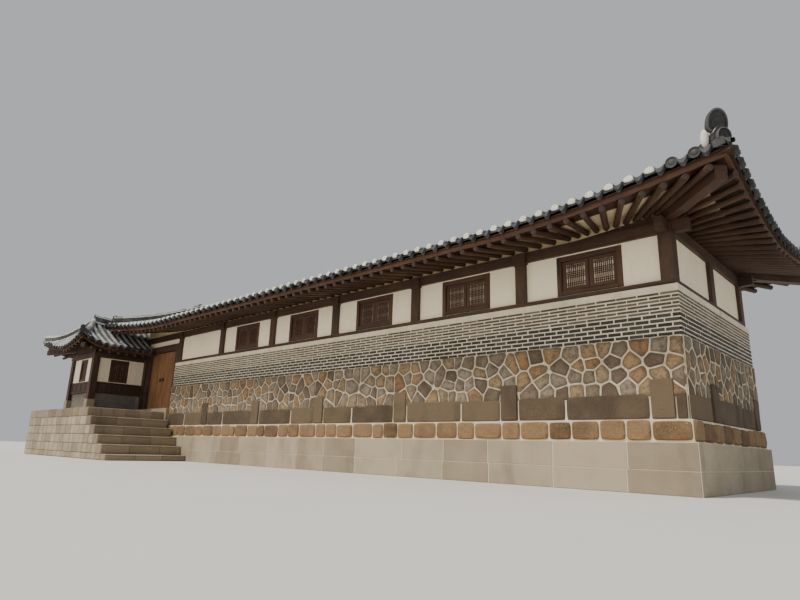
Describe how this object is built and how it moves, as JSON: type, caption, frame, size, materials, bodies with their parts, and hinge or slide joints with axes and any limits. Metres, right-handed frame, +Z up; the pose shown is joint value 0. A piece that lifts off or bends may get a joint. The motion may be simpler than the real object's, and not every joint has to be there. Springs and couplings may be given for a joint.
{
  "type": "hanok house",
  "caption": "Long traditional Korean house with a curved tiled roof, hipped at one end, stone and brick lower walls, lattice windows, a two-leaf gate, a small wing and stone steps.",
  "frame": {"origin": "centre of the bounding box in plan, on the lowest ground under the house", "axes": "+X along the long front wall towards its free end, +Y from the front to the back, +Z up"},
  "size_m": [20.9656, 7.417, 5.5039],
  "materials": {
    "granite": "rough",
    "fieldstone": "rough",
    "brick": "matt",
    "plaster": "matt",
    "roof_tile": "matt",
    "timber": "satin",
    "plank": "satin",
    "iron": "satin"
  },
  "bodies": {
    "house": {"back_brick_wall": "brick", "back_plaster_wall": "plaster", "back_rafters": "timber", "back_stone_wall": "fieldstone", "back_timber_frame": "timber", "back_window_1": "timber", "back_window_2": "timber", "back_window_3": "timber", "floor": "granite", "front_brick_wall": "brick", "front_plaster_wall": "plaster", "front_rafters": "timber", "front_stone_wall": "fieldstone", "front_timber_frame": "timber", "front_window_1": "timber", "front_window_2": "timber", "front_window_3": "timber", "front_window_4": "timber", "front_window_5": "timber", "gate_back_post": "timber", "gate_back_threshold": "granite", "gate_frame": "timber", "gate_left_post": "timber", "gate_plaster_strip": "plaster", "gate_threshold": "granite", "hip_rafter_back_right": "timber", "hip_rafter_front_right": "timber", "left_gable_wall": "plaster", "main_eave_board": "timber", "main_ridges": "roof_tile", "main_roof": "roof_tile", "right_brick_wall": "brick", "right_plaster_wall": "plaster", "right_rafters": "timber", "right_stone_wall": "fieldstone", "right_timber_frame": "timber", "steps": "granite", "terrace": "granite", "wing_back_course": "granite", "wing_base": "granite", "wing_board_wall": "timber", "wing_brick_wall": "brick", "wing_eave_board": "timber", "wing_front_course": "granite", "wing_front_window": "timber", "wing_left_course": "granite", "wing_left_window": "timber", "wing_plaster_wall": "plaster", "wing_rafters": "timber", "wing_ridges": "roof_tile", "wing_right_course": "granite", "wing_right_window": "timber", "wing_roof": "roof_tile", "wing_timber_frame": "timber"},
    "left_leaf": {"gate_leaf_left": "plank", "gate_pull_left": "iron"},
    "right_leaf": {"gate_leaf_right": "plank", "gate_pull_right": "iron"}
  },
  "joints": [
    {"name": "gate_leaf_left_hinge", "type": "hinge", "parent": "house", "child": "left_leaf", "pos_m": [-7.1902, -1.1971, 2.4], "axis": [0, 0, 1], "range_deg": [0, 95]},
    {"name": "gate_leaf_right_hinge", "type": "hinge", "parent": "house", "child": "right_leaf", "pos_m": [-5.6151, -1.1971, 2.4], "axis": [0, 0, -1], "range_deg": [0, 95]}
  ]
}
